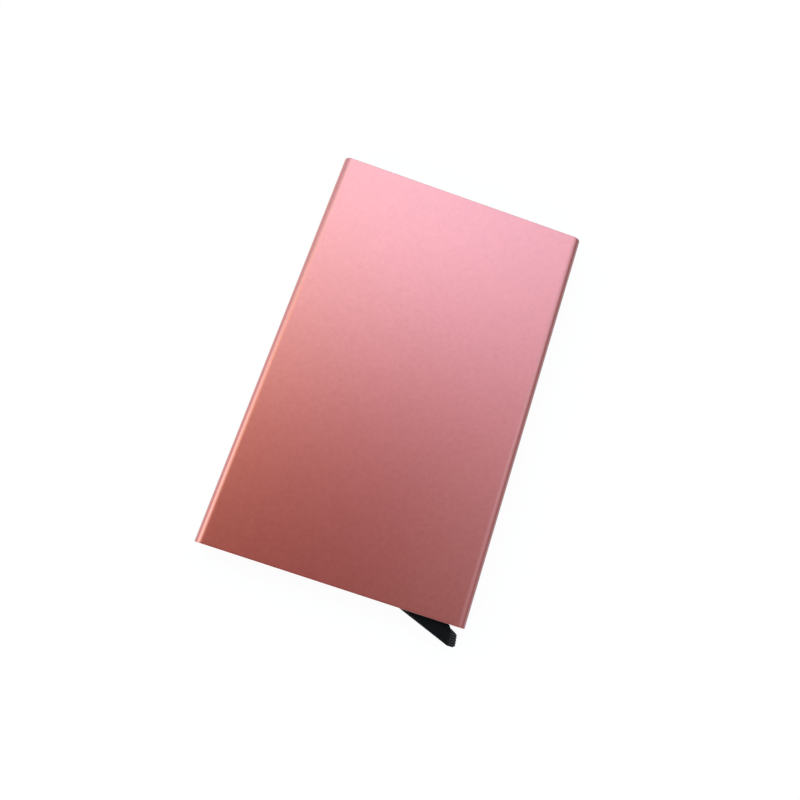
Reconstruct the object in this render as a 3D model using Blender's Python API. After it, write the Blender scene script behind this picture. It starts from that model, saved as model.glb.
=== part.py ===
"""A slim aluminium card holder: a flat tube for a stack of cards, with a finger lever at its lower end.

Swinging the lever lifts the cards out of the mouth as a fan. The holder lies on its back: +X is to
the right and +Y towards the mouth as one looks at the front, and +Z is the way the front faces.
The origin is the centre of the back face. Lengths are in metres.
"""

import math

import bmesh
import bpy
from mathutils import Matrix, Vector

# Case: one aluminium extrusion, open at both ends
CASE_LENGTH = 0.1
CASE_THICKNESS = 0.008
CASE_CORNER = 0.002
CASE_BORE_CORNER = 0.001
BROAD_WALL = 0.0009
SIDE_WALL = 0.0012
EDGE_BREAK = 0.00015

# Cards: the bay is as wide as one card and a little play on each side
CARD_WIDTH = 0.054
CARD_PLAY = 0.0003
CARD_COUNT = 5

# Clearances: what slides in once, what moves, a pin in its hole, and a part on its stop
FIT_GAP = 0.0002
RUN_GAP = 0.0002
PIN_GAP = 0.00008
STOP_GAP = 0.0003

# Inner frame: floor plate, bottom rail, side rails, all measured up from the case's lower end
FRAME_RECESS = 0.0002
FRAME_CORNER = 0.0008
PLATE = 0.0007
RAIL_WIDTH = 0.0028
RAIL_DEPTH = 0.0022
BASE_HEIGHT = 0.011
LEDGE_WIDTH = 0.0043
LEDGE_RISE = 0.0004
RAIL_END_DEPTH = 0.0036
LEAD_IN = 0.0008
POCKET_LENGTH = 0.0104
POCKET_RIB = 0.0012
POCKET_WALL = 0.001
POCKET_FLANGE = 0.0009
STAKE_RADIUS = 0.0005

# Lever: hub and pivot
HUB_RADIUS = 0.0035
HUB_SIDE_GAP = 0.0004
HUB_DISC_LAYERS = 2
PIVOT_HEIGHT = 0.0066
SWING_DEGREES = 38

# Lever: stepped arm, the longest finger at the back
ARM_RISE = 0.0048
ARM_END_GAP = 0.0004
ARM_STEP = 0.008
ARM_TIP_DEPTH = 0.004
ARM_TIP_TOP_RADIUS = 0.0016
ARM_TIP_LOW_RADIUS = 0.001
ARM_ROOT_GAP = 0.0006
ARM_ROOT_RADIUS = 0.004
SHOULDER_RADIUS = 0.0004

# Lever: finger fin under the case
FIN_FLANK_DEGREES = 19.6
FIN_FLANK_START = 0.0159
FIN_INSET = 0.00085
FIN_END_LEAN = 0.0004
FIN_FOOT = 0.0018
FIN_FOOT_RADIUS = 0.0015
FIN_NOSE_RADIUS = 0.00065
FIN_TOP_DROP = 0.0015
FIN_TOP_RADIUS = 0.0009
FIN_THROAT_DROP = 0.0006
FIN_THROAT_LEAN = 0.00035
FIN_THROAT_RADIUS = 0.0005
FIN_LEDGE = 0.00115
FIN_LEDGE_RADIUS = 0.0003
RAMP_GAP = 0.0004
RAMP_BLUNT = 0.0008

# Pin and return spring
PIN_RADIUS = 0.001
PIN_CHAMFER = 0.0002
COLLAR_WALL = 0.00045
SPRING_WIRE = 0.00035
SPRING_RADIUS = 0.0021
SPRING_TURNS = 2
SPRING_POINTS_PER_TURN = 10
SPRING_SIDE_GAP = 0.00045
SPRING_TOP_GAP = 0.00025
SPRING_LEG = 0.008
SPRING_GRIP = 0.0014

# Felt pads by the mouth
PAD_THICKNESS = 0.0006
PAD_HEIGHT = 0.008
PAD_SIDE_GAP = 0.0023
PAD_CORNER = 0.0008
PAD_BELOW_MOUTH = 0.004

# Modelling
ARC_STEP = math.radians(15)
CORNER_STEPS = 6
ROUND_SIDES = 32
SMALL_ROUND_SIDES = 16
OVERRUN = 0.002

# Heights above the back face, and sizes across, that several pieces share: the case is as wide as
# a card, two rails and two walls
LOWER_END = -CASE_LENGTH / 2
UPPER_END = CASE_LENGTH / 2
BAY_HALF = CARD_WIDTH / 2 + CARD_PLAY
FRAME_HALF = BAY_HALF + RAIL_WIDTH
BORE_HALF = FRAME_HALF + FIT_GAP
CASE_WIDTH = 2 * (BORE_HALF + SIDE_WALL)
PAD_WIDTH = 2 * (BAY_HALF - PAD_SIDE_GAP)
FRAME_LOW = BROAD_WALL + FIT_GAP
FRAME_HIGH = CASE_THICKNESS - BROAD_WALL - FIT_GAP
FRAME_BASE = LOWER_END + FRAME_RECESS
LEVER_LOW = FRAME_LOW + PLATE + RUN_GAP
LEVER_HIGH = FRAME_HIGH - PLATE - RUN_GAP
LAYER = (LEVER_HIGH - LEVER_LOW) / CARD_COUNT
PIVOT = Vector((BAY_HALF - HUB_SIDE_GAP - HUB_RADIUS, LOWER_END + PIVOT_HEIGHT, 0))
SWING = math.radians(SWING_DEGREES)
ARM_REACH = PIVOT.x + BAY_HALF - LEDGE_WIDTH - ARM_END_GAP
ARM_ROOT_DROP = PIVOT_HEIGHT - FRAME_RECESS - RAIL_DEPTH - ARM_ROOT_GAP
POCKET_FLOOR = LEVER_LOW + HUB_DISC_LAYERS * LAYER
SPRING_LOW = POCKET_FLOOR + RUN_GAP + SPRING_WIRE / 2
SPRING_HIGH = LEVER_HIGH - SPRING_TOP_GAP - SPRING_WIRE / 2
SPRING_FIXED_LEG = HUB_RADIUS + HUB_SIDE_GAP + SPRING_GRIP


def clear_scene():
    """Removes whatever objects the file opened with."""
    for found in list(bpy.data.objects):
        bpy.data.objects.remove(found, do_unlink=True)


def finish_material(name, colour, roughness, metallic):
    """One Principled material with a plain colour."""
    made = bpy.data.materials.new(name)
    made.use_nodes = True
    shader = made.node_tree.nodes["Principled BSDF"]
    shader.inputs["Base Color"].default_value = (*colour, 1)
    shader.inputs["Roughness"].default_value = roughness
    shader.inputs["Metallic"].default_value = metallic
    return made


def add_object(name, mesh, material=None, place=(0, 0, 0)):
    """Links a mesh or curve as an object."""
    made = bpy.data.objects.new(name, mesh)
    made.location = place
    if material:
        mesh.materials.append(material)
    bpy.context.scene.collection.objects.link(made)
    return made


def mesh_from(name, bm):
    """Turns a bmesh into a mesh whose faces point outwards."""
    bmesh.ops.recalc_face_normals(bm, faces=bm.faces)
    mesh = bpy.data.meshes.new(name)
    bm.to_mesh(mesh)
    bm.free()
    return mesh


def smooth(made, degrees=35):
    """Shades a piece smooth, apart from its real edges."""
    made.data.shade_smooth()
    made.data.set_sharp_from_angle(angle=math.radians(degrees))


def rounded(corners):
    """Outline through (x, y, radius) corners: each corner becomes the arc that touches both its sides."""
    points = []
    for i, (x, y, radius) in enumerate(corners):
        here = Vector((x, y))
        back = (Vector(corners[i - 1][:2]) - here).normalized()
        ahead = (Vector(corners[(i + 1) % len(corners)][:2]) - here).normalized()
        if not radius:
            points.append(here)
            continue
        half = back.angle(ahead) / 2
        centre = here + (back + ahead).normalized() * (radius / math.sin(half))
        arm = here + back * (radius / math.tan(half)) - centre
        turn = math.copysign(math.pi - 2 * half, ahead.cross(back))
        steps = max(2, math.ceil(abs(turn) / ARC_STEP))
        points += [centre + Matrix.Rotation(turn * k / steps, 2) @ arm for k in range(steps + 1)]
    return points


def rectangle(low_x, high_x, low_y, high_y, radius=0):
    """Outline of a rectangle with equal corners."""
    sides = ((low_x, low_y), (high_x, low_y), (high_x, high_y), (low_x, high_y))
    return rounded([(x, y, radius) for x, y in sides])


def disc(radius, sides, centre=(0, 0)):
    """Outline of a round piece, seen along its axis."""
    return [
        Vector((
            centre[0] + radius * math.cos(math.tau * k / sides),
            centre[1] + radius * math.sin(math.tau * k / sides),
        ))
        for k in range(sides)
    ]


def prism(name, outline, low, high, material=None, place=(0, 0, 0)):
    """A flat outline raised from one height to another."""
    bm = bmesh.new()
    face = bm.faces.new([bm.verts.new((x, y, low)) for x, y in outline])
    raised = bmesh.ops.extrude_face_region(bm, geom=[face])["geom"]
    moved = [item for item in raised if isinstance(item, bmesh.types.BMVert)]
    bmesh.ops.translate(bm, verts=moved, vec=(0, 0, high - low))
    return add_object(name, mesh_from(name, bm), material, place)


def combine(made, other, operation="DIFFERENCE"):
    """Cuts another piece out of this one, or joins it on, and keeps the other as a hidden helper."""
    other.hide_render = True
    other.display_type = "WIRE"
    step = made.modifiers.new(operation.lower(), "BOOLEAN")
    step.operation = operation
    step.solver = "EXACT"
    step.object = other


def ring(half_x, low_z, high_z, radius, y):
    """Points of a rounded rectangle across the case, at one place along it."""
    centres = (
        (half_x - radius, high_z - radius),
        (-half_x + radius, high_z - radius),
        (-half_x + radius, low_z + radius),
        (half_x - radius, low_z + radius),
    )
    points = []
    for quarter, (x, z) in enumerate(centres):
        for k in range(CORNER_STEPS + 1):
            angle = (quarter + k / CORNER_STEPS) * math.pi / 2
            points.append((x + radius * math.cos(angle), y, z + radius * math.sin(angle)))
    return points


def case_ring(inwards, y):
    """The case's outer outline, drawn in by a small amount."""
    return ring(
        CASE_WIDTH / 2 - inwards, inwards, CASE_THICKNESS - inwards, CASE_CORNER - inwards, y
    )


def bore_ring(outwards, y):
    """The bore's outline, opened out by a small amount."""
    return ring(
        BORE_HALF + outwards,
        BROAD_WALL - outwards,
        CASE_THICKNESS - BROAD_WALL + outwards,
        CASE_BORE_CORNER + outwards,
        y,
    )


def add_case_sleeve(material):
    """The extruded tube: eight rings joined in turn, with each sharp end edge broken."""
    rings = (
        case_ring(EDGE_BREAK, LOWER_END),
        case_ring(0, LOWER_END + EDGE_BREAK),
        case_ring(0, UPPER_END - EDGE_BREAK),
        case_ring(EDGE_BREAK, UPPER_END),
        bore_ring(EDGE_BREAK, UPPER_END),
        bore_ring(0, UPPER_END - EDGE_BREAK),
        bore_ring(0, LOWER_END + EDGE_BREAK),
        bore_ring(EDGE_BREAK, LOWER_END),
    )
    bm = bmesh.new()
    loops = [[bm.verts.new(point) for point in points] for points in rings]
    for i, loop in enumerate(loops):
        onward = loops[(i + 1) % len(loops)]
        for k in range(len(loop)):
            after = (k + 1) % len(loop)
            bm.faces.new((loop[k], loop[after], onward[after], onward[k]))
    smooth(add_object("case_sleeve", mesh_from("case_sleeve", bm), material))


def flank_height(x):
    """Height of the lever's straight lower flank over the pivot's level, at x from the pivot."""
    return -ARM_ROOT_DROP - (x + FIN_FLANK_START) * math.tan(math.radians(FIN_FLANK_DEGREES))


def shoulder_x():
    """Place of the shoulder that meets the right rail when the lever has swung all the way."""
    room = HUB_RADIUS + HUB_SIDE_GAP - STOP_GAP
    return (room - ARM_RISE * math.sin(SWING)) / math.cos(SWING)


def lever_outline():
    """The lever from the front, round the pivot: arm to the left, fin to the lower right."""
    shoulder = Vector((shoulder_x(), ARM_RISE))
    touch = math.atan2(shoulder.y, shoulder.x) - math.acos(HUB_RADIUS / shoulder.length)
    hub_corner = HUB_RADIUS * math.tan(touch / 2)
    ledge = FRAME_BASE - STOP_GAP - PIVOT.y
    fin_end = CASE_WIDTH / 2 - FIN_INSET - PIVOT.x
    foot_start = fin_end - FIN_FOOT
    foot = flank_height(foot_start)
    fin_top = ledge - FIN_TOP_DROP
    ledge_end = HUB_RADIUS + FIN_LEDGE
    return rounded([
        (HUB_RADIUS, hub_corner, HUB_RADIUS),
        (shoulder.x, shoulder.y, SHOULDER_RADIUS),
        (-ARM_REACH, ARM_RISE, ARM_TIP_TOP_RADIUS),
        (-ARM_REACH, ARM_RISE - ARM_TIP_DEPTH, ARM_TIP_LOW_RADIUS),
        (-FIN_FLANK_START, -ARM_ROOT_DROP, ARM_ROOT_RADIUS),
        (foot_start, foot, FIN_FOOT_RADIUS),
        (fin_end, foot, FIN_NOSE_RADIUS),
        (fin_end - FIN_END_LEAN, fin_top, FIN_TOP_RADIUS),
        (ledge_end + FIN_THROAT_LEAN, ledge - FIN_THROAT_DROP, FIN_THROAT_RADIUS),
        (ledge_end, ledge, FIN_LEDGE_RADIUS),
        (HUB_RADIUS, ledge, FIN_LEDGE_RADIUS),
    ])


def cut_arm_step(lever, layer):
    """Shortens every layer of the arm from this one up, and rounds the finger's top corner."""
    reach = ARM_REACH - layer * ARM_STEP
    top = ARM_RISE
    far = -ARM_REACH - OVERRUN
    outline = rounded([
        (far, -ARM_ROOT_DROP - OVERRUN, 0),
        (-reach, -ARM_ROOT_DROP - OVERRUN, 0),
        (-reach, top - ARM_TIP_TOP_RADIUS, 0),
    ])
    steps = math.ceil(math.pi / 2 / ARC_STEP)
    for k in range(1, steps + 1):
        angle = math.pi - k / steps * math.pi / 2
        outline.append(Vector((
            -reach + ARM_TIP_TOP_RADIUS * (1 + math.cos(angle)),
            top - ARM_TIP_TOP_RADIUS * (1 - math.sin(angle)),
        )))
    outline += [Vector((-reach + ARM_TIP_TOP_RADIUS, top + OVERRUN)), Vector((far, top + OVERRUN))]
    low = LEVER_LOW + layer * LAYER
    combine(lever, prism(f"arm_step_cutter_{layer}", outline, low, LEVER_HIGH + OVERRUN, place=PIVOT))


def cut_spring_room(lever):
    """Pocket for the coil round a collar, a groove for the moving leg and a window for the fixed one."""
    coil = SPRING_RADIUS + SPRING_WIRE / 2
    room = prism(
        "spring_pocket_cutter",
        disc(coil + SPRING_SIDE_GAP, ROUND_SIDES),
        POCKET_FLOOR,
        LEVER_HIGH + OVERRUN,
        place=PIVOT,
    )
    collar = prism(
        "collar_keeper",
        disc(PIN_RADIUS + PIN_GAP + COLLAR_WALL, ROUND_SIDES),
        POCKET_FLOOR - OVERRUN,
        LEVER_HIGH + OVERRUN + RUN_GAP,
        place=PIVOT,
    )
    combine(room, collar)
    combine(lever, room)

    low_side = -SPRING_RADIUS - SPRING_WIRE / 2 - FIT_GAP
    high_side = -SPRING_RADIUS + SPRING_WIRE / 2 + FIT_GAP
    groove = rectangle(-SPRING_LEG - FIT_GAP, -SPRING_RADIUS / 2, low_side, high_side)
    groove_floor = SPRING_HIGH - SPRING_WIRE / 2 - FIT_GAP
    combine(
        lever, prism("leg_groove_cutter", groove, groove_floor, LEVER_HIGH + OVERRUN, place=PIVOT)
    )

    inner = SPRING_RADIUS - SPRING_WIRE / 2 - FIT_GAP
    swept_top = HUB_RADIUS * math.sin(SWING) - inner * math.cos(SWING) + SPRING_WIRE + FIT_GAP
    beside_collar = PIN_RADIUS + PIN_GAP + COLLAR_WALL + FIT_GAP
    beside_coil = SPRING_RADIUS / 2
    window = [
        Vector((beside_coil, low_side)),
        Vector((HUB_RADIUS + OVERRUN, low_side)),
        Vector((HUB_RADIUS + OVERRUN, swept_top)),
        Vector((beside_collar, swept_top)),
        Vector((beside_collar, -inner)),
        Vector((beside_coil, -inner)),
    ]
    combine(
        lever, prism("leg_window_cutter", window, POCKET_FLOOR, LEVER_HIGH + OVERRUN, place=PIVOT)
    )


def add_eject_lever(material):
    """One moulding: hub, five stacked fingers of stepped length, and the fin outside the case."""
    lever = prism("eject_lever", lever_outline(), LEVER_LOW, LEVER_HIGH, material, PIVOT)
    for layer in range(1, CARD_COUNT):
        cut_arm_step(lever, layer)
    bore = prism(
        "lever_bore_cutter",
        disc(PIN_RADIUS + PIN_GAP, ROUND_SIDES),
        LEVER_LOW - OVERRUN,
        LEVER_HIGH + OVERRUN,
        place=PIVOT,
    )
    cut_spring_room(lever)
    combine(lever, bore)


def frame_blank(material):
    """The frame before it is hollowed: a slab that slides in the case, with its long edges rounded."""
    rail_end = UPPER_END - RAIL_END_DEPTH
    bm = bmesh.new()
    low, high = (
        [bm.verts.new(p) for p in ring(FRAME_HALF, FRAME_LOW, FRAME_HIGH, FRAME_CORNER, y)]
        for y in (FRAME_BASE, rail_end)
    )
    bm.faces.new(low)
    bm.faces.new(high)
    for k in range(len(low)):
        after = (k + 1) % len(low)
        bm.faces.new((low[k], low[after], high[after], high[k]))
    return add_object("inner_frame", mesh_from("inner_frame", bm), material)


def cut_card_window(frame):
    """Takes out the card bay, which leaves two side rails with a lead-in at the top, and the base."""
    base = LOWER_END + BASE_HEIGHT
    ledge = PIVOT.y + ARM_RISE + LEDGE_RISE
    ledge_end = -BAY_HALF + LEDGE_WIDTH
    top = UPPER_END - RAIL_END_DEPTH
    outline = [
        (-BAY_HALF, ledge),
        (ledge_end, ledge),
        (ledge_end, base),
        (BAY_HALF, base),
        (BAY_HALF, top - LEAD_IN),
        (BAY_HALF + LEAD_IN, top + OVERRUN),
        (-BAY_HALF - LEAD_IN, top + OVERRUN),
        (-BAY_HALF, top - LEAD_IN),
    ]
    window = [Vector(point) for point in outline]
    combine(frame, prism("card_window_cutter", window, -OVERRUN, CASE_THICKNESS + OVERRUN))


def cut_lever_chamber(frame):
    """Hollows the base over its floor plate, with a slot in the bottom rail for the lever's neck."""
    rail_top = FRAME_BASE + RAIL_DEPTH
    slope = math.tan(math.radians(FIN_FLANK_DEGREES))
    drop = RAMP_GAP / math.cos(math.radians(FIN_FLANK_DEGREES))
    flank_at_pivot = PIVOT.y + flank_height(0) - drop
    ramp_top = PIVOT.x + (flank_at_pivot - rail_top) / slope
    blunt = FRAME_BASE + RAMP_BLUNT
    ramp_end = PIVOT.x + (flank_at_pivot - blunt) / slope
    ledge_end = -BAY_HALF + LEDGE_WIDTH
    above = LOWER_END + BASE_HEIGHT + OVERRUN
    outline = [
        (ledge_end, rail_top),
        (ramp_top, rail_top),
        (ramp_end, blunt),
        (ramp_end, FRAME_BASE - OVERRUN),
        (BAY_HALF, FRAME_BASE - OVERRUN),
        (BAY_HALF, above),
        (ledge_end, above),
    ]
    chamber = [Vector(point) for point in outline]
    floor = FRAME_LOW + PLATE
    combine(frame, prism("lever_chamber_cutter", chamber, floor, CASE_THICKNESS + OVERRUN))


def cut_cover_seat(frame):
    """Lowers the base between the side rails, so that the cover lies flush with them."""
    top = LOWER_END + BASE_HEIGHT + FIT_GAP
    seat = rectangle(-BAY_HALF, BAY_HALF, FRAME_BASE - OVERRUN, top)
    floor = FRAME_HIGH - PLATE - FIT_GAP
    combine(frame, prism("cover_seat_cutter", seat, floor, CASE_THICKNESS + OVERRUN))


def cut_rail_pockets(frame):
    """Cores the side rails from outside, in equal pockets with a rib between each two."""
    start = LOWER_END + BASE_HEIGHT + POCKET_RIB
    end = UPPER_END - RAIL_END_DEPTH - POCKET_RIB
    pitch = POCKET_LENGTH + POCKET_RIB
    count = int((end - start + POCKET_RIB) / pitch)
    for side in (-1, 1):
        inner = side * (BAY_HALF + POCKET_WALL)
        outer = side * (FRAME_HALF + OVERRUN)
        for k in range(count):
            low = start + k * pitch
            box = rectangle(min(inner, outer), max(inner, outer), low, low + POCKET_LENGTH)
            name = f"rail_pocket_cutter_{'left' if side < 0 else 'right'}_{k}"
            combine(
                frame,
                prism(name, box, FRAME_LOW + POCKET_FLANGE, FRAME_HIGH - POCKET_FLANGE),
            )


def stake_places():
    """Middle of the ledge and two places along the bottom rail, where stakes hold the cover."""
    ledge = (-BAY_HALF + LEDGE_WIDTH / 2, PIVOT.y)
    rail_y = FRAME_BASE + RAIL_DEPTH / 2
    rail_left_share, rail_right_share = 0.55, 0.05
    return (ledge, (-BAY_HALF * rail_left_share, rail_y), (BAY_HALF * rail_right_share, rail_y))


def add_inner_frame(material):
    """Black moulding that closes the case's lower end, carries the lever and narrows the bore to a card."""
    frame = frame_blank(material)
    cut_card_window(frame)
    cut_lever_chamber(frame)
    cut_cover_seat(frame)
    cut_rail_pockets(frame)
    hole = disc(PIN_RADIUS + PIN_GAP, ROUND_SIDES)
    combine(frame, prism("frame_pin_cutter", hole, 0, FRAME_LOW + PLATE + OVERRUN, place=PIVOT))
    fixed_leg = -SPRING_RADIUS
    half_slot = SPRING_WIRE / 2 + FIT_GAP
    notch = rectangle(
        HUB_RADIUS, SPRING_FIXED_LEG + FIT_GAP, fixed_leg - half_slot, fixed_leg + half_slot
    )
    notch_floor = SPRING_LOW - half_slot
    combine(
        frame, prism("spring_notch_cutter", notch, notch_floor, CASE_THICKNESS + OVERRUN, place=PIVOT)
    )
    seat = FRAME_HIGH - PLATE - FIT_GAP
    for k, place in enumerate(stake_places()):
        stake = disc(STAKE_RADIUS, SMALL_ROUND_SIDES, place)
        combine(frame, prism(f"stake_{k}", stake, seat - PLATE, FRAME_HIGH - FIT_GAP), "UNION")


def add_base_cover(material):
    """Thin plate over the lever's chamber, with a hole for the pin and three for the stakes."""
    edge = BAY_HALF - FIT_GAP
    outline = rectangle(-edge, edge, FRAME_BASE, LOWER_END + BASE_HEIGHT, FRAME_CORNER)
    cover = prism("base_cover", outline, FRAME_HIGH - PLATE, FRAME_HIGH, material)
    under = FRAME_HIGH - PLATE - OVERRUN
    hole = disc(PIN_RADIUS + PIN_GAP, ROUND_SIDES)
    combine(cover, prism("cover_pin_cutter", hole, under, FRAME_HIGH + OVERRUN, place=PIVOT))
    for k, place in enumerate(stake_places()):
        stake_hole = disc(STAKE_RADIUS + PIN_GAP, SMALL_ROUND_SIDES, place)
        cutter = prism(f"stake_hole_cutter_{k}", stake_hole, under, FRAME_HIGH + OVERRUN)
        combine(cover, cutter)


def add_hinge_pin(material):
    """Plain steel pin with chamfered ends, as long as the frame is thick."""
    profile = (
        (PIN_RADIUS - PIN_CHAMFER, FRAME_LOW),
        (PIN_RADIUS, FRAME_LOW + PIN_CHAMFER),
        (PIN_RADIUS, FRAME_HIGH - PIN_CHAMFER),
        (PIN_RADIUS - PIN_CHAMFER, FRAME_HIGH),
    )
    bm = bmesh.new()
    loops = [
        [bm.verts.new((x, y, z)) for x, y in disc(radius, ROUND_SIDES)] for radius, z in profile
    ]
    bm.faces.new(loops[0])
    bm.faces.new(loops[-1])
    for low, high in zip(loops, loops[1:]):
        for k in range(ROUND_SIDES):
            after = (k + 1) % ROUND_SIDES
            bm.faces.new((low[k], low[after], high[after], high[k]))
    smooth(add_object("hinge_pin", mesh_from("hinge_pin", bm), material, PIVOT))


def spring_path():
    """Fixed leg from the right rail, whole turns clockwise as they rise, then the leg in the lever."""
    steps = SPRING_TURNS * SPRING_POINTS_PER_TURN
    points = [
        Vector((SPRING_FIXED_LEG, -SPRING_RADIUS, SPRING_LOW)),
        Vector((SPRING_WIRE, -SPRING_RADIUS, SPRING_LOW)),
    ]
    for k in range(steps + 1):
        angle = -math.pi / 2 - math.tau * k / SPRING_POINTS_PER_TURN
        height = SPRING_LOW + (SPRING_HIGH - SPRING_LOW) * k / steps
        points.append(
            Vector((SPRING_RADIUS * math.cos(angle), SPRING_RADIUS * math.sin(angle), height))
        )
    points.append(Vector((-SPRING_WIRE, -SPRING_RADIUS, SPRING_HIGH)))
    points.append(Vector((-SPRING_LEG, -SPRING_RADIUS, SPRING_HIGH)))
    return points


def least_gap(points):
    """Smallest clear distance between turns of the wire, measured on points half a turn or more apart."""
    apart = SPRING_POINTS_PER_TURN // 2
    nearest = min(
        (points[i] - points[j]).length
        for i in range(len(points))
        for j in range(i + apart, len(points))
    )
    return nearest - SPRING_WIRE


def add_return_spring(material):
    """Torsion spring round the lever's collar, one unbroken wire."""
    points = spring_path()
    curve = bpy.data.curves.new("return_spring", "CURVE")
    curve.dimensions = "3D"
    curve.bevel_depth = SPRING_WIRE / 2
    curve.bevel_resolution = 1
    curve.use_fill_caps = True
    line = curve.splines.new("POLY")
    line.points.add(len(points) - 1)
    for target, point in zip(line.points, points):
        target.co = (*point, 1)
    line.use_smooth = True
    add_object("return_spring", curve, material, PIVOT)
    print(f"return_spring: least gap between turns {least_gap(points) * 1000:.2f} mm")


def add_friction_pads(material):
    """A felt strip on each broad wall, just below the mouth."""
    top = UPPER_END - PAD_BELOW_MOUTH
    outline = rectangle(-PAD_WIDTH / 2, PAD_WIDTH / 2, top - PAD_HEIGHT, top, PAD_CORNER)
    prism("rear_friction_pad", outline, FRAME_LOW, FRAME_LOW + PAD_THICKNESS, material)
    prism("front_friction_pad", outline, FRAME_HIGH - PAD_THICKNESS, FRAME_HIGH, material)


def build():
    """Makes every piece of the holder."""
    clear_scene()
    anodised = finish_material("anodised_aluminium", (0.62, 0.26, 0.26), 0.38, 1.0)
    black = finish_material("black_plastic", (0.012, 0.013, 0.015), 0.42, 0.0)
    steel = finish_material("steel", (0.6, 0.6, 0.6), 0.3, 1.0)
    spring_steel = finish_material("spring_steel", (0.5, 0.5, 0.52), 0.35, 1.0)
    felt = finish_material("black_felt", (0.02, 0.02, 0.022), 0.95, 0.0)
    add_case_sleeve(anodised)
    add_inner_frame(black)
    add_base_cover(black)
    add_eject_lever(black)
    add_hinge_pin(steel)
    add_return_spring(spring_steel)
    add_friction_pads(felt)


build()
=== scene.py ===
# %% [markdown]
# # A pop-up card holder, one piece at a time
# The holder is a flat aluminium tube with a black finger lever at its lower right corner.
# Inside are a moulded frame, a cover, a pin, a small spring and two felt strips.
# Nearly every piece below is a surface worked out with numpy, and two mouldings are the packed
# shapes with softer edges. All are in metres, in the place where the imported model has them: +X is
# right, +Y is towards the mouth and +Z comes out of the front face.

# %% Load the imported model
import math

import bmesh
import bpy
import numpy as np
from mathutils import Matrix, Vector


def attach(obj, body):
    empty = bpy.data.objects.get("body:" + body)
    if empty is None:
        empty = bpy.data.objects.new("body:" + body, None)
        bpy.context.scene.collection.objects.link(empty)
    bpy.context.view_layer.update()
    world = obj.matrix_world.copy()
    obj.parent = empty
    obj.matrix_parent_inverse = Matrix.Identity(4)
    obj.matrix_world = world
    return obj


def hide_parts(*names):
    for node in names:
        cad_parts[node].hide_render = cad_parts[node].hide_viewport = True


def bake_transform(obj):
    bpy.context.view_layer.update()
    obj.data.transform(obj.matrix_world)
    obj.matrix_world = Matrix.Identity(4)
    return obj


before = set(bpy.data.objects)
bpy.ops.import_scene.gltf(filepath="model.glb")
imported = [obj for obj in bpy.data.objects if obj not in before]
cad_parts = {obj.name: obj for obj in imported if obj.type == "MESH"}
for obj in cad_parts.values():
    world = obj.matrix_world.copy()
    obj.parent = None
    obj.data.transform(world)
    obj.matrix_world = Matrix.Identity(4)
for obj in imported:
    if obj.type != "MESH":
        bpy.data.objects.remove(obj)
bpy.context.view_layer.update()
MM = 0.001
print("packed pieces:", sorted(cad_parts))

# %% [markdown]
# ## From numbers to a mesh
# Nearly every piece is a grid of points: one direction of the grid goes round the piece and the
# other goes along it. Such a grid only has to be joined up into four-sided faces, and its two open
# ends closed. Writing the index arithmetic once keeps every later piece short, and it can't leave a
# hole, because neighbouring faces share their points.


# %% A grid of points becomes a mesh
def join_grid(name, rows, loop=False):
    """Object from rows[i, k] = point k of ring i. Face (i, k) joins points k and k + 1 of rings i and
    i + 1, with k + 1 taken round the ring. With loop the last ring joins the first, or else both
    end rings are closed by one face each."""
    count, around = rows.shape[:2]
    i = np.arange(count if loop else count - 1)[:, None]
    k = np.arange(around)[None, :]
    here, onward = i * around, (i + 1) % count * around
    after = (k + 1) % around
    quads = np.stack([here + k, here + after, onward + after, onward + k], axis=-1).reshape(-1, 4)
    faces = quads.tolist()
    if not loop:
        ends = np.arange(around)
        faces += [ends[::-1].tolist(), (ends + (count - 1) * around).tolist()]
    mesh = bpy.data.meshes.new(name)
    mesh.from_pydata(rows.reshape(-1, 3).tolist(), [], faces)
    made = bpy.data.objects.new(name, mesh)
    bpy.context.scene.collection.objects.link(made)
    return made


def tidy_mesh(made, merge=1e-7, sharp_degrees=32):
    """Merges points that coincide, turns the faces outwards and shades smooth between real edges."""
    bm = bmesh.new()
    bm.from_mesh(made.data)
    if merge:
        bmesh.ops.remove_doubles(bm, verts=bm.verts, dist=merge)
    bmesh.ops.recalc_face_normals(bm, faces=bm.faces)
    open_edges = sum(len(edge.link_faces) != 2 for edge in bm.edges)
    bm.to_mesh(made.data)
    bm.free()
    made.data.shade_smooth()
    made.data.set_sharp_from_angle(angle=math.radians(sharp_degrees))
    faces = len(made.data.polygons)
    print(f"{made.name}: {faces} faces, {open_edges} open edges")
    return made


def settle(made, node, body):
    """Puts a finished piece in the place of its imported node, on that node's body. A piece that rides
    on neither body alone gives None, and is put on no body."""
    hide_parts(node)
    if body:
        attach(made, body)
    return made


# %% [markdown]
# ## The aluminium tube
# The real tube is one extrusion: the same rounded section all along, cut square at both ends, and
# tumbled and bead-blasted before the dye bath, so each cut edge is slightly round. It could be a
# box with a bevel, but a profile carried along a path says more plainly what it is. Here the
# profile is the wall, cut lengthwise: up the outside, over the mouth's edge, down the bore and
# round the lower edge. It is carried once round the rounded rectangle of the section.

# %% Section of the tube
LENGTH = 100 * MM
THICKNESS = 8 * MM
HALF_WIDTH = 31.5 * MM
CORNER = 2 * MM
BORE_CORNER = 1 * MM
BROAD_WALL = 0.9 * MM
SIDE_WALL = 1.2 * MM
EDGE_ROUND = 0.11 * MM
ARC_STEPS = 20
FLAT_SHARES = np.array([0.004, 0.02, 0.1, 0.3, 0.5, 0.7, 0.9, 0.98, 0.996])
print(f"bore: {(2 * (HALF_WIDTH - SIDE_WALL)) / MM:.1f} x {(THICKNESS - 2 * BROAD_WALL) / MM:.1f} mm")


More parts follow.
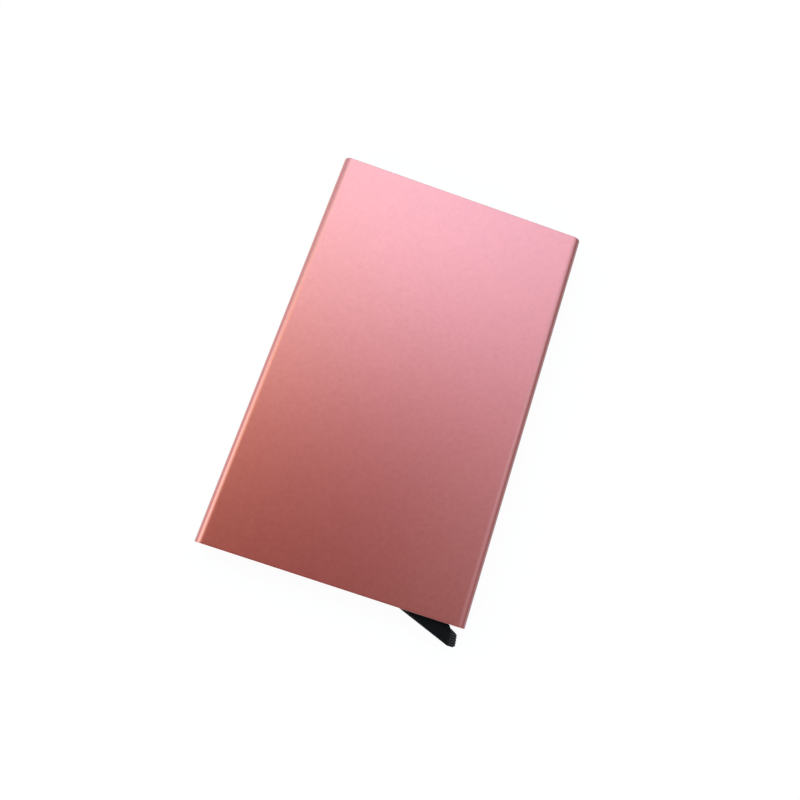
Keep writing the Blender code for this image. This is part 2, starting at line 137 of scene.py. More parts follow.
def section(half_x, low_z, high_z, radius, swell):
    """Points (x, z) of a rounded rectangle pushed out by swell. A corner's point at angle a is the
    corner's centre plus (radius + swell) times (cos a, sin a). The flats between two corners are
    straight mixes of their end points, closer together near the corners so that they shade flat."""
    turns = np.linspace(0, math.pi / 2, ARC_STEPS + 1)
    centres = [
        (half_x - radius, high_z - radius),
        (radius - half_x, high_z - radius),
        (radius - half_x, low_z + radius),
        (half_x - radius, low_z + radius),
    ]
    arcs = []
    for (x, z), start in zip(centres, np.arange(4) * math.pi / 2):
        arc_x = x + (radius + swell) * np.cos(turns + start)
        arc_z = z + (radius + swell) * np.sin(turns + start)
        arcs.append(np.stack([arc_x, arc_z], axis=-1))
    parts = []
    for arc, following in zip(arcs, arcs[1:] + arcs[:1]):
        share = FLAT_SHARES[:, None]
        parts += [arc, arc[-1] * (1 - share) + following[0] * share]
    return np.concatenate(parts)


def ring_at(y, swell, bore):
    """The section's outside or its bore at height y along the tube, as points (x, y, z)."""
    if bore:
        flat = section(HALF_WIDTH - SIDE_WALL, BROAD_WALL, THICKNESS - BROAD_WALL, BORE_CORNER, swell)
    else:
        flat = section(HALF_WIDTH, 0, THICKNESS, CORNER, swell)
    return np.stack([flat[:, 0], np.full(len(flat), y), flat[:, 1]], axis=-1)


def wall_profile(edge_steps=5):
    """(y, swell, bore) all the way round the wall: each cut edge is a quarter circle of radius
    EDGE_ROUND, so at angle t it is drawn in by r(1 - cos t) and lies r(1 - sin t) below the cut.
    Points near and far from each cut keep the long faces flat up to it."""
    end = LENGTH / 2
    t = np.linspace(0, math.pi / 2, edge_steps + 1)
    drawn_in = EDGE_ROUND * (1 - np.cos(t))
    below = EDGE_ROUND * (1 - np.sin(t))
    near, far = 0.4 * MM, 6 * MM
    rise = [(y, 0.0) for y in (near - end, far - end, 0.0, end - far, end - near)]
    upper = [(end - b, d) for b, d in zip(below, drawn_in)]
    lower = [(b - end, d) for b, d in zip(below[::-1], drawn_in[::-1])]
    outside = [(y, -d, False) for y, d in lower + rise + upper]
    inside = [(y, d, True) for y, d in lower + rise + upper]
    return outside + inside[::-1]


# %% Make the tube
sleeve_rows = np.stack([ring_at(y, swell, bore) for y, swell, bore in wall_profile()])
sleeve = tidy_mesh(join_grid("aluminium_sleeve", sleeve_rows, loop=True))
settle(sleeve, "case_sleeve", "case")

# %% [markdown]
# ## An outline with its own directions
# The lever is a flat outline with rounded corners, given a thickness and a soft edge. It could be
# an extruded curve with a bevel, but a bevel spoils the tight corners. If every point of the
# outline also knows which way is outwards, then a copy drawn in by d is simply point minus d times
# that direction, and a soft edge is a few such copies stacked up a quarter circle.


# %% Rounded outlines
def rounded_outline(corners, degrees=6, along=None):
    """Points and outward directions through (x, y, radius) corners, in turn to the left. Each corner
    is the arc that touches both its sides: its centre lies radius / sin(half angle) up the bisector,
    and every point of the arc is the centre plus or minus radius times the outward direction.
    along gives, for the straight side after a corner, the x values at which it gets a point too."""
    corners = [(Vector((x, y)), radius) for x, y, radius in corners]
    points, outward = [], []
    for i, (here, radius) in enumerate(corners):
        back = (corners[i - 1][0] - here).normalized()
        ahead = (corners[(i + 1) % len(corners)][0] - here).normalized()
        half = back.angle(ahead) / 2
        bulge = 1 if ahead.cross(back) > 0 else -1
        centre = here + (back + ahead).normalized() * (radius / math.sin(half))
        start = ((here + back * (radius / math.tan(half))) - centre).normalized()
        steps = max(2, math.ceil(math.degrees(math.pi - 2 * half) / degrees))
        turn = bulge * (math.pi - 2 * half) * np.arange(steps + 1) / steps
        begin = math.atan2(start.y, start.x)
        arc = np.stack([np.cos(begin + turn), np.sin(begin + turn)], axis=-1)
        points.append(np.array(centre) + radius * arc)
        outward.append(bulge * arc)
    full_points, full_outward = [], []
    for i in range(len(points)):
        full_points.append(points[i])
        full_outward.append(outward[i])
        start, end = points[i][-1], points[(i + 1) % len(points)][0]
        inside = (along or {}).get(i, ())
        for x in sorted(inside, reverse=bool(end[0] < start[0])):
            share = (x - start[0]) / (end[0] - start[0])
            full_points.append((start + share * (end - start))[None])
            full_outward.append(outward[i][-1:])
    return np.concatenate(full_points), np.concatenate(full_outward)


# %% Soft edges
def soft_edge(radius, steps=5, support=0.06 * MM):
    """(rise, inset) pairs from the middle of a flat face out to its side wall: a narrow band of the
    flat face first, then a quarter circle, where rise = r(1 - cos t) and inset = r(1 - sin t)."""
    t = np.linspace(0, math.pi / 2, steps + 1)
    rise = np.append(0, radius * (1 - np.cos(t)))
    inset = np.append(radius + support, radius * (1 - np.sin(t)))
    return list(zip(rise, inset))


def at_height(flat, z, place=(0, 0)):
    """Flat points lifted to height z and moved to their place."""
    return np.stack([flat[:, 0] + place[0], flat[:, 1] + place[1], np.full(len(flat), z)], axis=-1)


# %% [markdown]
# ## The lever
# One black moulding: a hub on the pin, a fin that the finger pulls, and five fingers stacked like
# stairs that lift each card a little further than the one in front of it. Five slabs could be joined
# by Booleans, but these leave slivers where the slabs meet. The outline is the same at every level,
# except that each finger ends sooner than the one behind it. So the whole lever is one stack of
# rings: on each stair, the points beyond that finger's end are pushed in to it.

# %% Sizes of the hub and the arm, round the pivot
PIVOT = (23.4 * MM, -43.4 * MM)
HUB = 3.5 * MM
SIDE_GAP = 0.4 * MM
STOP_GAP = 0.3 * MM
SWING = math.radians(38)
SHOULDER_ROUND = 0.4 * MM
ARM_TOP = 4.8 * MM
ARM_REACH = 46 * MM
ARM_STEP = 8 * MM
TIP_DEPTH = 4 * MM
TIP_ROUND = 1.6 * MM
TIP_HEEL_ROUND = 1 * MM
ROOT_DROP = 3.6 * MM
print(f"arm: {ARM_REACH / MM:.0f} mm long, swings {math.degrees(SWING):.0f} degrees")

# %% Sizes of the fin
FLANK_START = 15.9 * MM
FLANK_ROUND = 4 * MM
FLANK_SLOPE = math.tan(math.radians(19.6))
FIN_INSET = 0.85 * MM
FIN_END = HALF_WIDTH - FIN_INSET - PIVOT[0]
FOOT_WIDTH = 1.8 * MM
FOOT_ROUND = 1.5 * MM
NOSE_ROUND = 0.65 * MM
FOOT_START = FIN_END - FOOT_WIDTH
FOOT = -ROOT_DROP - (FOOT_START + FLANK_START) * FLANK_SLOPE
FRAME_RECESS = 0.2 * MM
LEDGE = -LENGTH / 2 + FRAME_RECESS - STOP_GAP - PIVOT[1]
FIN_LEAN = 0.4 * MM
FIN_TOP_DROP = 1.5 * MM
FIN_TOP_ROUND = 0.9 * MM
THROAT = 1.5 * MM
THROAT_DROP = 0.6 * MM
THROAT_ROUND = 0.5 * MM
LEDGE_WIDTH = 1.15 * MM
LEDGE_ROUND = 0.3 * MM
print(f"fin: {-(FOOT + PIVOT[1] + LENGTH / 2) / MM:.1f} mm below the tube")

# %% Levels and soft edges of the lever
LEVER_LOW = 2 * MM
LEVER_HIGH = 6 * MM
FINGERS = 5
LEVER_EDGE = 0.24 * MM
END_EDGE = 0.5 * MM
END_START = 4.9 * MM
END_BLEND = 1.2 * MM
print(f"lever: {FINGERS} stairs in {(LEVER_HIGH - LEVER_LOW) / MM:.0f} mm")

# %% Outline of the lever
# The shoulder is the arm's upper right corner. At the end of the swing it lies STOP_GAP short of the
# frame's wall, which is SIDE_GAP beside the hub. touch is the angle at which the side that comes
# down from it meets the hub's circle.
shoulder = (HUB + SIDE_GAP - STOP_GAP - ARM_TOP * math.sin(SWING)) / math.cos(SWING)
touch = math.atan2(ARM_TOP, shoulder) - math.acos(HUB / math.hypot(shoulder, ARM_TOP))
lever_corners = [
    (HUB, HUB * math.tan(touch / 2), HUB),
    (shoulder, ARM_TOP, SHOULDER_ROUND),
    (-ARM_REACH, ARM_TOP, TIP_ROUND),
    (-ARM_REACH, ARM_TOP - TIP_DEPTH, TIP_HEEL_ROUND),
    (-FLANK_START, -ROOT_DROP, FLANK_ROUND),
    (FOOT_START, FOOT, FOOT_ROUND),
    (FIN_END, FOOT, NOSE_ROUND),
    (FIN_END - FIN_LEAN, LEDGE - FIN_TOP_DROP, FIN_TOP_ROUND),
    (HUB + THROAT, LEDGE - THROAT_DROP, THROAT_ROUND),
    (HUB + LEDGE_WIDTH, LEDGE, LEDGE_ROUND),
    (HUB, LEDGE, LEDGE_ROUND),
]
finger_ends = -ARM_REACH + ARM_STEP * np.arange(1, FINGERS)
# A side has the number of the corner that it starts from. Sides 1 and 3 run along the fingers, and
# side 4 under the fin.
along_sides = {1: finger_ends + TIP_ROUND, 3: finger_ends[:-1], 4: [END_START]}
lever_points, lever_outward = rounded_outline(lever_corners, along=along_sides)
print(f"lever outline: {len(lever_points)} points, shoulder {shoulder / MM:.2f} mm right of the pin")


# %% Rings of the lever
def edge_scale():
    """How many times LEVER_EDGE the edge's radius is at each point of the outline: 1 everywhere but
    at the fin's end, where it grows to END_EDGE over END_BLEND, as 3s^2 - 2s^3 with s from 0 to 1."""
    s = np.clip((lever_points[:, 0] - END_START) / END_BLEND, 0, 1)
    return 1 + (END_EDGE / LEVER_EDGE - 1) * (3 * s**2 - 2 * s**3)


def finger(number, inset):
    """The outline of one stair, drawn in by inset times the edge's scale. Beyond the finger's end, x
    becomes the end's own x at that height: the end is straight up to the rounded top corner, and
    there it follows a circle, x = centre - square root of (radius squared - height above centre
    squared)."""
    flat = lever_points - inset * edge_scale()[:, None] * lever_outward
    if not number:
        return flat
    end = -ARM_REACH + number * ARM_STEP
    above = np.clip(flat[:, 1] - (ARM_TOP - TIP_ROUND), 0, TIP_ROUND - inset)
    limit = end + TIP_ROUND - np.sqrt(np.maximum((TIP_ROUND - inset) ** 2 - above**2, 0))
    return np.stack([np.maximum(flat[:, 0], limit), flat[:, 1]], axis=-1)


# %% Stack the rings
stair = (LEVER_HIGH - LEVER_LOW) / FINGERS
lever_rows = [(LEVER_LOW, rise, 0, inset) for rise, inset in soft_edge(LEVER_EDGE)]
for number in range(1, FINGERS):
    level = LEVER_LOW + number * stair
    lever_rows += [(level, 0, number - 1, 0), (level, 0, number, 0)]
lever_rows += [(LEVER_HIGH, -rise, FINGERS - 1, inset) for rise, inset in soft_edge(LEVER_EDGE)[::-1]]
lever_grid = np.stack([
    at_height(finger(number, inset), level + rise * edge_scale(), PIVOT)
    for level, rise, number, inset in lever_rows
])
lever = tidy_mesh(join_grid("thumb_lever", lever_grid))

# %% [markdown]
# ### Hollows and grip ribs
# The hub is bored for the pin and pocketed for the spring, with a groove for the spring's moving
# leg and a window for the fixed one. The end of the fin has a few small ribs, so that a finger
# doesn't slip. A ring of the stack can't hold a hole, so the hollows are small prisms cut from the
# lever, and the ribs are joined on. The exact Booleans are applied at once, so that no helper is
# left behind.

# %% Sizes of the hollows, pin and spring
# OVER is how far a cutting prism stands out of what it cuts.
PIN = 1 * MM
PIN_GAP = 0.08 * MM
FIT = 0.2 * MM
COLLAR_WALL = 0.45 * MM
COLLAR = PIN + PIN_GAP + COLLAR_WALL
WIRE = 0.35 * MM
COIL = 2.1 * MM
COIL_ROOM = 0.45 * MM
POCKET_FLOOR = LEVER_LOW + 2 * stair
SPRING_LOW = POCKET_FLOOR + FIT + WIRE / 2
SPRING_SUNK = 0.25 * MM
SPRING_HIGH = LEVER_HIGH - SPRING_SUNK - WIRE / 2
LEG = 8 * MM
LEG_GRIP = 1.4 * MM
FIXED_LEG = HUB + SIDE_GAP + LEG_GRIP
OVER = 2 * MM
OFF_LEVEL = 0.02 * MM
print(f"spring wire from {SPRING_LOW / MM:.2f} to {SPRING_HIGH / MM:.2f} mm up")


# %% Cut and join small prisms
def prism(name, flat, low, high):
    """A plain prism on a flat outline round the pivot, used to cut or join."""
    flat = np.asarray(flat, float)
    return join_grid(name, np.stack([at_height(flat, z, PIVOT) for z in (low, high)]))


def circle(radius, sides=64):
    """Points on a circle round the origin."""
    turns = np.arange(sides) * math.tau / sides
    return radius * np.stack([np.cos(turns), np.sin(turns)], axis=-1)


def box_outline(low_x, high_x, low_y, high_y):
    """The four corners of an upright rectangle."""
    return [(low_x, low_y), (high_x, low_y), (high_x, high_y), (low_x, high_y)]


def apply_boolean(made, helper, operation):
    """Cuts the helper from the piece, or joins it on, and removes the helper."""
    step = made.modifiers.new("step", "BOOLEAN")
    step.operation, step.solver, step.object = operation, "EXACT", helper
    bpy.context.view_layer.update()
    shape = bpy.data.meshes.new_from_object(made.evaluated_get(bpy.context.evaluated_depsgraph_get()))
    made.modifiers.clear()
    made.data, old = shape, made.data
    bpy.data.meshes.remove(old)
    bpy.data.objects.remove(helper)


# %% Pocket and groove for the spring
room = prism("room", circle(COIL + WIRE / 2 + COIL_ROOM), POCKET_FLOOR, LEVER_HIGH + OVER)
collar = prism("collar", circle(COLLAR), POCKET_FLOOR - OVER, LEVER_HIGH + 2 * OVER)
apply_boolean(room, collar, "DIFFERENCE")
apply_boolean(lever, room, "DIFFERENCE")
low_side, high_side = -COIL - WIRE / 2 - FIT, -COIL + WIRE / 2 + FIT
groove = box_outline(-LEG - FIT, -COIL / 2, low_side, high_side)
# OFF_LEVEL keeps the groove's floor off a stair's level, where two faces in one plane would meet.
groove_floor = SPRING_HIGH - WIRE / 2 - FIT - OFF_LEVEL
apply_boolean(lever, prism("groove", groove, groove_floor, LEVER_HIGH + OVER), "DIFFERENCE")
print(f"pocket and groove cut: {len(lever.data.polygons)} faces")

# %% Window for the fixed leg, and the bore
# Seen from the lever, the fixed leg sweeps upwards by the swing, so the window is that tall.
inner = COIL - WIRE / 2 - FIT
swept = HUB * math.sin(SWING) - inner * math.cos(SWING) + WIRE + FIT
window = [
    (COIL / 2, low_side),
    (HUB + OVER, low_side),
    (HUB + OVER, swept),
    (COLLAR + FIT, swept),
    (COLLAR + FIT, -inner),
    (COIL / 2, -inner),
]
apply_boolean(lever, prism("window", window, POCKET_FLOOR, LEVER_HIGH + OVER), "DIFFERENCE")
bore = prism("bore", circle(PIN + PIN_GAP), LEVER_LOW - OVER, LEVER_HIGH + OVER)
apply_boolean(lever, bore, "DIFFERENCE")
print(f"window and bore cut: {len(lever.data.polygons)} faces")

# %% Shape of one rib
RIB_HEIGHT = 0.12 * MM
RIB_HALF = 0.2 * MM
RIB_REACH = 1.6 * MM
RIB_FADE_LENGTH = 0.25 * MM
RIB_FADE_SHARES = np.array([0.15, 0.8])
RIB_DEGREES = (-40, 220)
RIB_SIDES = 13
TURN_POINTS = 7


def rib_rows(middle):
    """One rib: part of an ellipse as its section, carried from the front face over the fin's edge to
    its back face. The section's point at angle a lies half width times cos a to the side, and height
    times sin a out of the surface, on a path with a quarter turn at each edge of the fin. Both ends
    of the path are lower, so that the rib rises out of the face."""
    edge = END_EDGE
    turn = np.linspace(math.pi / 2, 0, TURN_POINTS)
    front = np.stack([edge * np.cos(turn) - edge, LEVER_HIGH - edge + edge * np.sin(turn)], axis=-1)
    begin = [[-RIB_REACH, LEVER_HIGH], [RIB_FADE_LENGTH - RIB_REACH, LEVER_HIGH]]
    front = np.concatenate([begin, front])
    path = np.concatenate([front, front[::-1] * (1, -1) + (0, LEVER_LOW + LEVER_HIGH)])
    turn = np.append([math.pi / 2, math.pi / 2], turn)
    turn = np.append(turn, -turn[::-1])
    out = np.stack([np.cos(turn), np.sin(turn)], axis=-1)
    height = np.full(len(path), RIB_HEIGHT)
    height[:2] *= RIB_FADE_SHARES
    height[-2:] *= RIB_FADE_SHARES[::-1]
    a = np.linspace(math.radians(RIB_DEGREES[0]), math.radians(RIB_DEGREES[1]), RIB_SIDES)
    lift = height[:, None] * np.sin(a)[None, :]
    flat = path[:, None, :] + out[:, None, :] * lift[..., None]
    x = middle[0] + PIVOT[0] + flat[..., 0]
    y = middle[1] + PIVOT[1] + np.broadcast_to(RIB_HALF * np.cos(a), x.shape)
    return np.stack([x, y, flat[..., 1]], axis=-1)


# %% Ribs along the end of the fin
# The ribs share the stretch of outline near the fin's end that faces mostly to the right.
RIBS = 5
RIB_ZONE = 1.5 * MM
FACING = 0.8
at_end = (lever_points[:, 0] > FIN_END - RIB_ZONE) & (lever_outward[:, 0] > FACING)
end_points = lever_points[at_end]
walked = np.append(0, np.cumsum(np.linalg.norm(np.diff(end_points, axis=0), axis=1)))
stops = walked[-1] * (np.arange(RIBS) + 0.5) / RIBS
for stop in stops:
    middle = [np.interp(stop, walked, end_points[:, k]) for k in (0, 1)]
    rib = tidy_mesh(join_grid("rib", rib_rows(middle)))
    apply_boolean(lever, rib, "UNION")
rib_y = middle[1] + PIVOT[1]
rib_gap = walked[-1] / RIBS
print(f"{RIBS} ribs, {rib_gap / MM:.2f} mm apart")
tidy_mesh(lever, merge=0)
settle(lever, "eject_lever", "lever")

# %% [markdown]
# ## Frame and cover
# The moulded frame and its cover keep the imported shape, which already has every pocket, slot and
# stake. They could be built again from grids, but that would only repeat it. A moulding never has
# knife edges, though, so each is a merged copy with its edges rounded by a narrow Bevel.

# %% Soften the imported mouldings
FRAME_EDGE = 0.07 * MM
COVER_EDGE = 0.05 * MM
BEVEL_DEGREES = 40
BEVEL_SEGMENTS = 2
FLAT_DEGREES = 1
MERGE_WITHIN = 0.001 * MM


def softened_copy(name, node, width):
    """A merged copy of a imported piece, with flat areas joined up and every real edge rounded."""
    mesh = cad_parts[node].data.copy()
    mesh.name = name
    mesh.materials.clear()
    made = bpy.data.objects.new(name, mesh)
    bpy.context.scene.collection.objects.link(made)
    bm = bmesh.new()
    bm.from_mesh(mesh)
    bmesh.ops.remove_doubles(bm, verts=bm.verts, dist=MERGE_WITHIN)
    flat_angle = math.radians(FLAT_DEGREES)
    bmesh.ops.dissolve_limit(
        bm, angle_limit=flat_angle, use_dissolve_boundaries=False, verts=bm.verts, edges=bm.edges
    )
    bm.to_mesh(mesh)
    bm.free()
    soft = made.modifiers.new("soft_edges", "BEVEL")
    soft.width, soft.segments, soft.limit_method = width, BEVEL_SEGMENTS, "ANGLE"
    soft.angle_limit = math.radians(BEVEL_DEGREES)
    soft.use_clamp_overlap = True
    bpy.context.view_layer.update()
    shape = bpy.data.meshes.new_from_object(made.evaluated_get(bpy.context.evaluated_depsgraph_get()))
    made.modifiers.clear()
    made.data = shape
    bpy.data.meshes.remove(mesh)
    return tidy_mesh(made)


inner_frame = softened_copy("moulded_frame", "inner_frame", FRAME_EDGE)
settle(inner_frame, "inner_frame", "case")
cover = softened_copy("chamber_cover", "base_cover", COVER_EDGE)
settle(cover, "base_cover", "case")

# %% [markdown]
# ## Pin and spring
# The pin is a turned rod: a short profile of radius against height, spun round its axis. The spring
# is one wire bent twice round the pin, with a straight leg at each end. Its surface is a circle
# carried along that path. Both could be curves with a round bevel, but grids close their own ends.
# When the lever swings, one leg stays in the frame and the other goes with the lever, so the spring
# is put on neither body.

# %% Turn the pin
PIN_LOW, PIN_HIGH = 1.1 * MM, 6.9 * MM
PIN_EDGE = 0.2 * MM
PIN_EDGE_STEPS = 5
PIN_SUPPORT = 0.1 * MM
PIN_SIDES = 48
t = np.linspace(0, math.pi / 2, PIN_EDGE_STEPS + 1)
pin_radius = np.append(PIN - PIN_EDGE - PIN_SUPPORT, PIN - PIN_EDGE * (1 - np.sin(t)))
pin_height = np.append(0, PIN_EDGE * (1 - np.cos(t)))
pin_profile = list(zip(pin_radius, PIN_LOW + pin_height))
pin_profile += list(zip(pin_radius[::-1], PIN_HIGH - pin_height[::-1]))
pin_rings = [at_height(circle(radius, PIN_SIDES), z, PIVOT) for radius, z in pin_profile]
pin = join_grid("steel_pin", np.stack(pin_rings))
settle(tidy_mesh(pin), "hinge_pin", "case")

# %% Wind the spring
COILS = 2
POINTS_PER_COIL = 40
WIRE_SIDES = 14
WIRE_CUT = 0.08 * MM
WIRE_CUT_SHARE = 0.7
LEG_MIDDLE = 3 * MM


def tube(name, path, radius, sides):
    """A circle carried along a path: each ring stands across the path's direction, found from the
    points before and after, with one axis level and the other square to it. The last ring at each
    end is smaller, which rounds off the cut wire."""
    along = np.gradient(path, axis=0)
    along /= np.linalg.norm(along, axis=1, keepdims=True)
    up = np.array([0.0, 0.0, 1.0])
    across = np.cross(along, up)
    across /= np.linalg.norm(across, axis=1, keepdims=True)
    rise = np.cross(across, along)
    a = np.arange(sides) * math.tau / sides
    share = np.ones(len(path))
    share[[0, -1]] = WIRE_CUT_SHARE
    ring = across[:, None] * np.cos(a)[None, :, None] + rise[:, None] * np.sin(a)[None, :, None]
    return join_grid(name, path[:, None] + radius * share[:, None, None] * ring)


# %% Path of the wire
turns = np.linspace(0, COILS, COILS * POINTS_PER_COIL + 1)
angle = -math.pi / 2 - math.tau * turns
climb = SPRING_LOW + (SPRING_HIGH - SPRING_LOW) * turns / COILS
coil_path = np.stack([COIL * np.cos(angle), COIL * np.sin(angle), climb], axis=-1)
fixed_x = np.array([FIXED_LEG, FIXED_LEG - WIRE_CUT, LEG_MIDDLE, WIRE])
moving_x = -np.array([WIRE, LEG_MIDDLE, LEG - WIRE_CUT, LEG])
fixed_leg = np.stack([fixed_x, np.full(4, -COIL), np.full(4, SPRING_LOW)], axis=-1)
moving_leg = np.stack([moving_x, np.full(4, -COIL), np.full(4, SPRING_HIGH)], axis=-1)
wire_path = np.concatenate([fixed_leg, coil_path, moving_leg]) + (*PIVOT, 0)
spring = tidy_mesh(tube("torsion_spring", wire_path, WIRE / 2, WIRE_SIDES))
settle(spring, "return_spring", None)
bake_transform(spring)
wire_length = np.linalg.norm(np.diff(wire_path, axis=0), axis=1).sum()
print(f"spring wire: {wire_length / MM:.1f} mm long")

# %% [markdown]
# ## Felt strips
# Two strips of black felt just inside the mouth press on the stack, so that the cards don't fall
# out. Felt isn't flat: its fibres stand up unevenly. A cloth simulation would swell such a thin,
# die-cut strip, so each is a grid with a soft edge, and its free face is raised and lowered by a few
# slow waves of different directions and lengths.

# %% Sizes of the felt
FELT_HALF = 25 * MM
FELT_LOW_Y, FELT_HIGH_Y = 38 * MM, 46 * MM
FELT_THICK = 0.6 * MM
FELT_EDGE = 0.3 * MM
FELT_RIM = 0.12 * MM
FELT_BELOW_FULL = 0.02 * MM
WAVE_HEIGHT = 0.005 * MM
# Each wave is how fast it turns along x and along y, in radians per mm, and where it begins.
FELT_WAVES = ((2.3, 1.1, 0.3), (-1.7, 2.9, 1.2), (0.9, -2.2, 2.5), (3.1, 0.7, 4.0))
FELT_GLUE = 0.2 * MM
print(f"felt: {2 * FELT_HALF / MM:.0f} x {(FELT_HIGH_Y - FELT_LOW_Y) / MM:.0f} mm")


# %% Lay the felt
def felt_strip(name, base_z, way, columns=150, rows=26):
    """Height over a rectangle: the rim's height, plus s(u) s(v) times what is left of the felt's
    thickness, where s rises from 0 at a side along a quarter circle to 1 and is flat in the middle,
    plus small waves. The flat back has the same points, and one row of faces round the rim joins the
    two. way is 1 for a strip that rises from the rear wall and -1 for one that hangs from the
    front wall."""
    u = 0.5 - 0.5 * np.cos(np.linspace(0, math.pi, columns))
    v = 0.5 - 0.5 * np.cos(np.linspace(0, math.pi, rows))
    x = (-FELT_HALF + 2 * FELT_HALF * u)[None, :] * np.ones((rows, 1))
    y = (FELT_LOW_Y + (FELT_HIGH_Y - FELT_LOW_Y) * v)[:, None] * np.ones((1, columns))
    inward_x = np.clip((FELT_HALF - np.abs(x)) / FELT_EDGE, 0, 1)
    inward_y = np.clip(np.minimum(y - FELT_LOW_Y, FELT_HIGH_Y - y) / FELT_EDGE, 0, 1)
    shape = np.sqrt(1 - (1 - inward_x) ** 2) * np.sqrt(1 - (1 - inward_y) ** 2)
    waves = sum(np.sin(x / MM * a + y / MM * b + c) for a, b, c in FELT_WAVES)
    pile = FELT_THICK - FELT_RIM - FELT_BELOW_FULL
    thick = FELT_RIM + pile * shape + WAVE_HEIGHT * waves * shape
    face = np.stack([x, y, base_z + way * thick], axis=-1)
    back = np.stack([x, y, np.full_like(x, base_z)], axis=-1)
    around = np.concatenate([
        np.arange(columns),
        columns - 1 + columns * np.arange(1, rows),
        columns * (rows - 1) + np.arange(columns - 2, -1, -1),
        columns * np.arange(rows - 2, 0, -1),
    ])
    count = rows * columns
    i = np.arange(rows - 1)[:, None] * columns
    k = np.arange(columns - 1)[None, :]
    quads = np.stack([i + k, i + k + 1, i + columns + k + 1, i + columns + k], axis=-1).reshape(-1, 4)
    rim = np.stack([around, np.roll(around, -1), np.roll(around, -1) + count, around + count], axis=-1)
    mesh = bpy.data.meshes.new(name)
    points = np.concatenate([face.reshape(-1, 3), back.reshape(-1, 3)])
    faces = np.concatenate([quads, quads[:, ::-1] + count, rim[:, ::-1]])
    mesh.from_pydata(points.tolist(), [], faces.tolist())
    made = bpy.data.objects.new(name, mesh)
    bpy.context.scene.collection.objects.link(made)
    return tidy_mesh(made, sharp_degrees=60)


# %% Both strips
rear_felt = felt_strip("rear_felt", BROAD_WALL + FELT_GLUE, 1)
settle(rear_felt, "rear_friction_pad", "case")
front_felt = felt_strip("front_felt", THICKNESS - BROAD_WALL - FELT_GLUE, -1)
settle(front_felt, "front_friction_pad", "case")

# %% [markdown]
# ## Shader maths as plain expressions
# A material is a small graph of nodes. They could be wired one by one, which is slow to read. The
# class below wraps a node's output instead, so that a line such as 0.4 + 0.1 * grain adds the Math
# nodes by itself.


# %% Sockets with operators
class Value:
    """One number that varies over a surface: wraps a node's output, and + - * / add Math nodes."""

    def __init__(self, nodes, socket):
        self.nodes, self.socket = nodes, socket

    def maths(self, operation, first, second):
        return self.nodes.add("ShaderNodeMath", {"operation": operation}, {0: first, 1: second})

    def __add__(self, other):
        return self.maths("ADD", self, other)

    def __radd__(self, other):
        return self.maths("ADD", other, self)

    def __sub__(self, other):
        return self.maths("SUBTRACT", self, other)

    def __rsub__(self, other):
        return self.maths("SUBTRACT", other, self)

    def __mul__(self, other):
        return self.maths("MULTIPLY", self, other)

    def __rmul__(self, other):
        return self.maths("MULTIPLY", other, self)

    def __truediv__(self, other):
        return self.maths("DIVIDE", self, other)

    def __rtruediv__(self, other):
        return self.maths("DIVIDE", other, self)

    def at_least(self, other):
        return self.maths("MAXIMUM", self, other)

    def at_most(self, other):
        return self.maths("MINIMUM", self, other)


# %% A tree of nodes
class Nodes:
    """The node tree of one material or world."""

    def __init__(self, owner):
        owner.use_nodes = True
        self.tree = owner.node_tree
        self.tree.nodes.clear()

    def add(self, kind, settings=None, inputs=None, output=0):
        """Adds a node: its settings first, then the numbers, colours or links of its sockets."""
        node = self.tree.nodes.new(kind)
        for key, value in (settings or {}).items():
            setattr(node, key, value)
        for key, value in (inputs or {}).items():
            if isinstance(value, Value):
                self.tree.links.new(value.socket, node.inputs[key])
            else:
                node.inputs[key].default_value = value
        return None if output is None else Value(self, node.outputs[output])

    def place(self):
        """Object coordinates, in metres."""
        return self.add("ShaderNodeTexCoord", output="Object")

    def noise(self, size, detail=2.0, roughness=0.5, stretch=(1, 1, 1)):
        """Soft noise from 0 to 1, whose blotches are about size metres across."""
        where = self.add(
            "ShaderNodeVectorMath",
            {"operation": "MULTIPLY"},
            {0: self.place(), 1: tuple(1 / (size * share) for share in stretch)},
        )
        return self.add(
            "ShaderNodeTexNoise",
            {"noise_dimensions": "3D"},
            {"Vector": where, "Scale": 1.0, "Detail": detail, "Roughness": roughness},
        )

    def mix(self, factor, first, second):
        """Colour between first and second. Sockets 0, 6 and 7 of a Mix node are its number factor and
        its two colours, and output 2 is its colour."""
        inputs = {0: factor, 6: first, 7: second}
        return self.add("ShaderNodeMix", {"data_type": "RGBA"}, inputs, output=2)

    def bump(self, height, distance):
        """A normal tilted by a height from 0 to 1 that stands distance metres tall."""
        return self.add("ShaderNodeBump", None, {"Height": height, "Distance": distance})

    def principled(self, **inputs):
        """One Principled shader joined to the material's output, with sockets named in lower case."""
        titles = [key.replace("_", " ").title().replace("Ior", "IOR") for key in inputs]
        named = dict(zip(titles, inputs.values()))
        return self.show(self.add("ShaderNodeBsdfPrincipled", None, named))

    def show(self, shader, kind="ShaderNodeOutputMaterial"):
        """Joins a shader to the tree's output."""
        self.add(kind, None, {"Surface": shader}, output=None)
        return shader


# %% Materials
def new_material(name):
    """An empty material and its nodes."""
    made = bpy.data.materials.new(name)
    return made, Nodes(made)


def dress(material, *pieces):
    """Gives each piece this one material."""
    for piece in pieces:
        piece.data.materials.clear()
        piece.data.materials.append(material)
        print(f"{piece.name}: {material.name}, {len(material.node_tree.nodes)} nodes")


